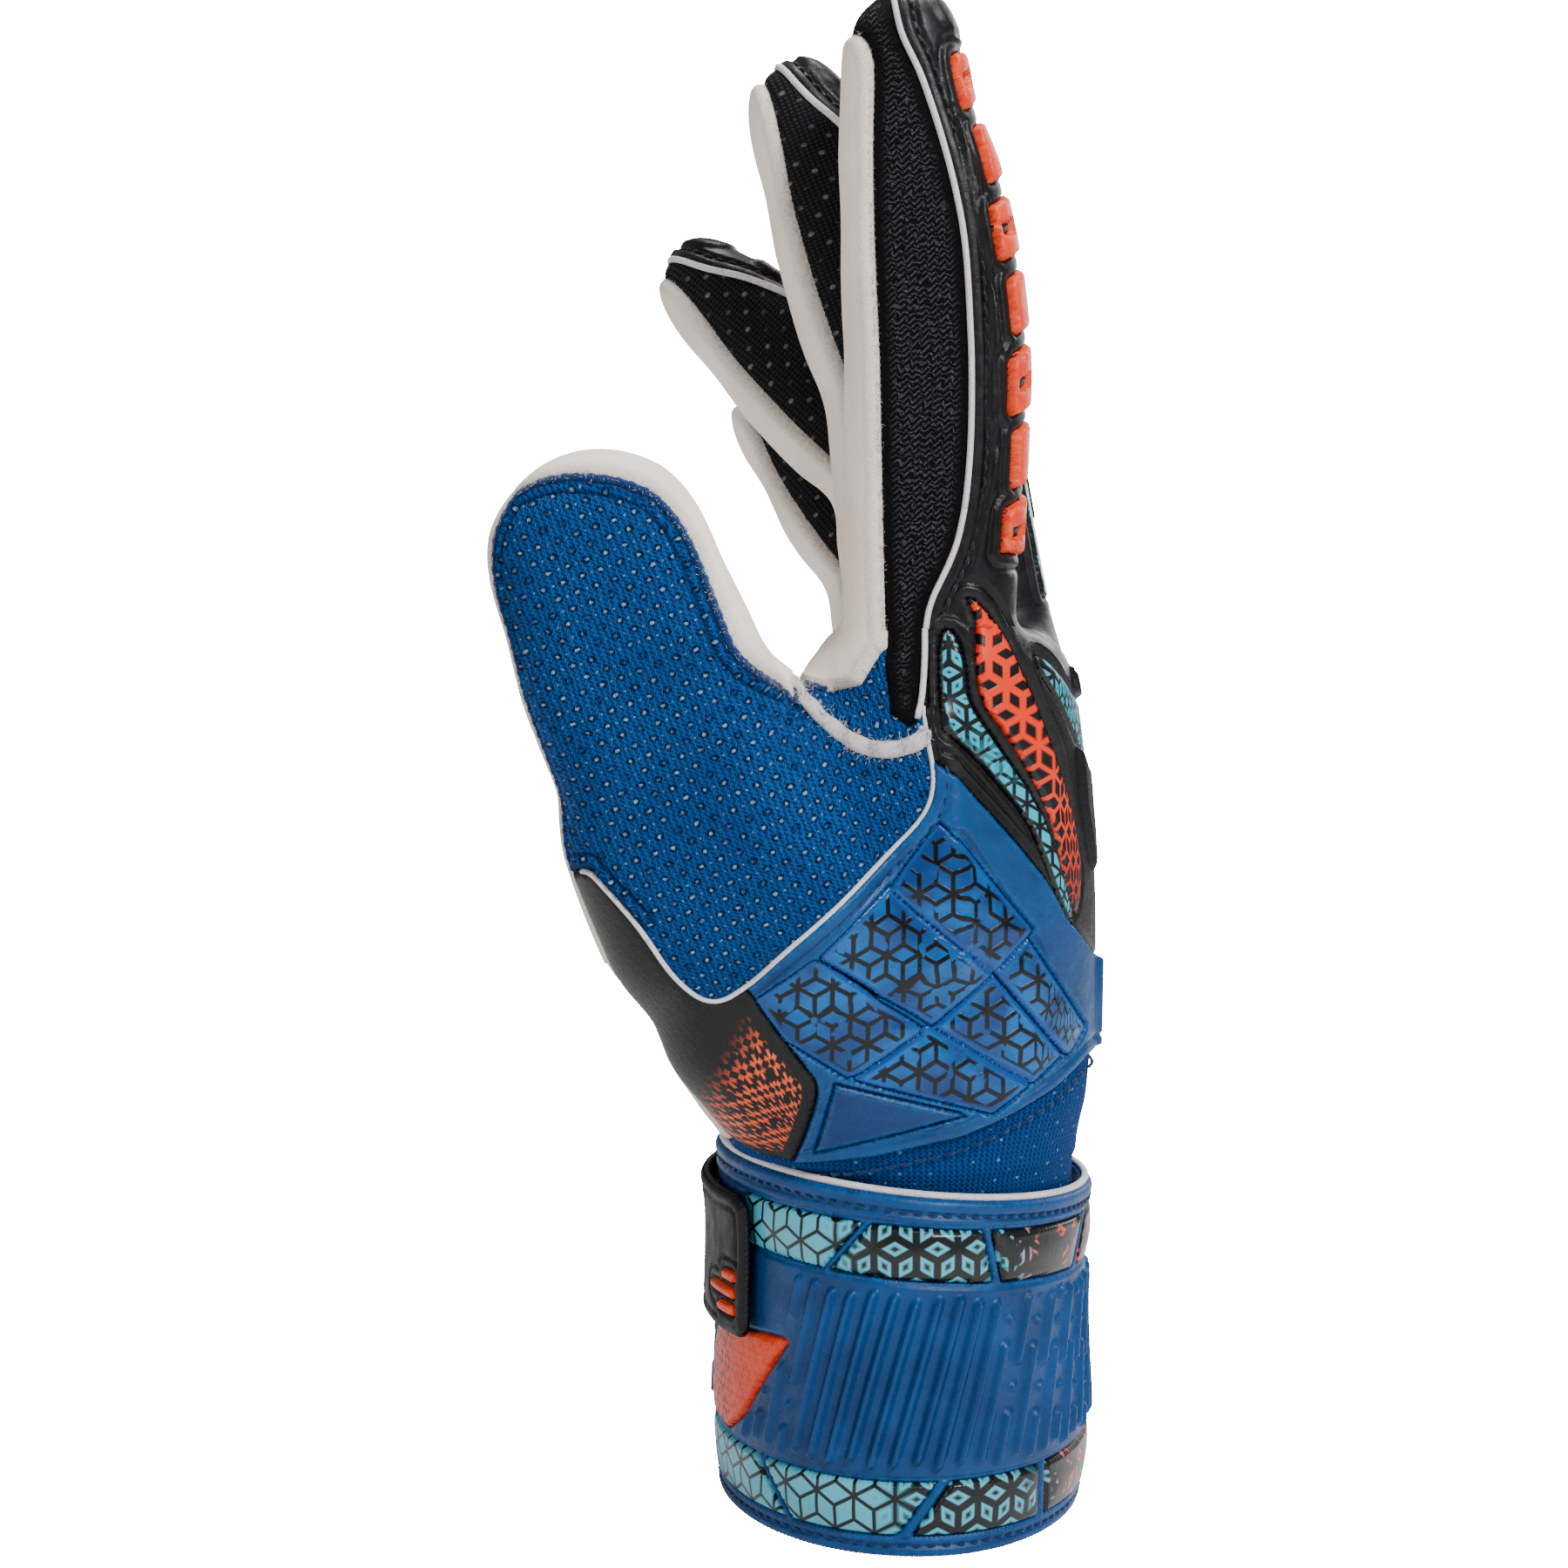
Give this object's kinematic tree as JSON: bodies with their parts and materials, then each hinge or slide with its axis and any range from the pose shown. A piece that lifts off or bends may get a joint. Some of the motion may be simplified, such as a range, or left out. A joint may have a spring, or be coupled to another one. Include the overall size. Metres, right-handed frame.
{
  "type": "goalkeeper glove",
  "caption": "Right-hand goalkeeper glove with latex palm and fingertips, mesh thumb, moulded backhand, rib-knit wrist and a cuff with a closure tab; fingers and thumb bend.",
  "frame": {"origin": "centre of the wrist opening, in the plane of the cuff's rim", "axes": "+Z from the cuff to the fingertips, +X to the back of the hand, -X to the palm, -Y to the thumb, +Y to the little finger"},
  "size_m": [0.1024, 0.1187, 0.2604],
  "materials": {
    "latex": "matt, softly textured foam latex",
    "mesh_blue": "perforated knit mesh",
    "moulded_black": "moulded rubber with a fine raised pattern",
    "moulded_blue": "moulded rubber, satin",
    "cell_print": "printed transfer film, semi-gloss",
    "arrow_blue": "raised transfer film, semi-gloss",
    "coral_rubber": "raised rubber print, satin",
    "cyan_print": "raised rubber print, satin",
    "printed_gusset": "stretch fabric with a coral print",
    "knit_black": "fine rib knit",
    "lining": "brushed knit",
    "band_blue": "embossed elastic band, satin",
    "knit_blue": "rib-knit elastic",
    "piping_white": "woven piping",
    "tab_black": "moulded rubber tab",
    "hook_tape": "nylon hooks",
    "loop_tape": "brushed nylon loops",
    "band_print": "raised rubber print, satin",
    "label": "woven satin label"
  },
  "bodies": {
    "hand": {"arrow_panel": "arrow_blue", "backhand_cells": "cell_print", "backhand_lower": "moulded_blue", "backhand_upper": "moulded_black", "coral_inlay": "coral_rubber", "cuff_arrow": "coral_rubber", "cuff_band": "band_blue", "cuff_lower_inlays": "band_print", "cuff_piping": "piping_white", "cuff_upper_inlays": "band_print", "cyan_inlays": "cyan_print", "hand_lining": "lining", "little_side_gusset": "knit_black", "loop_patch": "loop_tape", "palm_latex": "latex", "size_label": "label", "strap_base": "tab_black", "thumb_base_gusset": "printed_gusset", "thumb_side_mesh": "mesh_blue", "wrist_elastic": "knit_blue"},
    "index_lower": {"index_lower_back": "moulded_black", "index_lower_chevrons": "coral_rubber", "index_lower_front": "latex", "index_lower_gusset": "knit_black"},
    "index_upper": {"index_upper_back": "moulded_black", "index_upper_chevrons": "coral_rubber", "index_upper_front": "latex", "index_upper_gusset": "knit_black"},
    "middle_lower": {"middle_lower_back": "moulded_black", "middle_lower_front": "latex", "middle_lower_gusset": "knit_black"},
    "middle_upper": {"middle_upper_back": "moulded_black", "middle_upper_front": "latex", "middle_upper_gusset": "knit_black"},
    "ring_lower": {"ring_lower_back": "moulded_black", "ring_lower_front": "latex", "ring_lower_gusset": "knit_black"},
    "ring_upper": {"ring_upper_back": "moulded_black", "ring_upper_front": "latex", "ring_upper_gusset": "knit_black"},
    "little_lower": {"little_lower_back": "moulded_black", "little_lower_front": "latex", "little_lower_gusset": "knit_black"},
    "little_upper": {"little_upper_back": "moulded_black", "little_upper_front": "latex", "little_upper_gusset": "knit_black"},
    "thumb_lower": {"thumb_lower_back": "mesh_blue", "thumb_lower_front": "latex"},
    "thumb_upper": {"thumb_upper_back": "mesh_blue", "thumb_upper_front": "latex"},
    "tab": {"closure_flap": "tab_black", "hook_patch": "hook_tape"}
  },
  "joints": [
    {"name": "index_knuckle", "type": "hinge", "parent": "hand", "child": "index_lower", "pos_m": [0, -0.037, 0.15], "axis": [0, -0.9986, -0.0523], "range_deg": [-10, 45], "stiffness_Nm_per_rad": 0.25},
    {"name": "index_middle_joint", "type": "hinge", "parent": "index_lower", "child": "index_upper", "pos_m": [-0.00084, -0.03951, 0.19793], "axis": [0, -0.9986, -0.0523], "range_deg": [-5, 55], "stiffness_Nm_per_rad": 0.2},
    {"name": "middle_knuckle", "type": "hinge", "parent": "hand", "child": "middle_lower", "pos_m": [0.004, -0.012, 0.153], "axis": [0, -0.9998, -0.0174], "range_deg": [-10, 45], "stiffness_Nm_per_rad": 0.25},
    {"name": "middle_middle_joint", "type": "hinge", "parent": "middle_lower", "child": "middle_upper", "pos_m": [-0.00261, -0.01282, 0.20003], "axis": [0, -0.9998, -0.0174], "range_deg": [-5, 55], "stiffness_Nm_per_rad": 0.2},
    {"name": "ring_knuckle", "type": "hinge", "parent": "hand", "child": "ring_lower", "pos_m": [0.005, 0.013, 0.15], "axis": [0, -0.9997, 0.0262], "range_deg": [-10, 45], "stiffness_Nm_per_rad": 0.25},
    {"name": "ring_middle_joint", "type": "hinge", "parent": "ring_lower", "child": "ring_upper", "pos_m": [-0.00177, 0.01401, 0.18839], "axis": [0, -0.9997, 0.0262], "range_deg": [-5, 55], "stiffness_Nm_per_rad": 0.2},
    {"name": "little_knuckle", "type": "hinge", "parent": "hand", "child": "little_lower", "pos_m": [0.003, 0.0365, 0.142], "axis": [0, -0.9962, 0.0872], "range_deg": [-10, 45], "stiffness_Nm_per_rad": 0.25},
    {"name": "little_middle_joint", "type": "hinge", "parent": "little_lower", "child": "little_upper", "pos_m": [-0.00318, 0.03915, 0.17226], "axis": [0, -0.9962, 0.0872], "range_deg": [-5, 55], "stiffness_Nm_per_rad": 0.2},
    {"name": "thumb_knuckle", "type": "hinge", "parent": "hand", "child": "thumb_lower", "pos_m": [-0.034, -0.043, 0.117], "axis": [0.9367, 0, 0.3502], "range_deg": [-35, 20], "stiffness_Nm_per_rad": 0.25},
    {"name": "thumb_tip_joint", "type": "hinge", "parent": "thumb_lower", "child": "thumb_upper", "pos_m": [-0.044, -0.04804, 0.14375], "axis": [0.9367, 0, 0.3502], "range_deg": [-45, 5], "stiffness_Nm_per_rad": 0.2},
    {"name": "tab_hinge", "type": "hinge", "parent": "hand", "child": "tab", "pos_m": [-0.03262, 0.024, 0.044], "axis": [0, 0, -1], "range_deg": [0, 110], "stiffness_Nm_per_rad": 0.01}
  ]
}
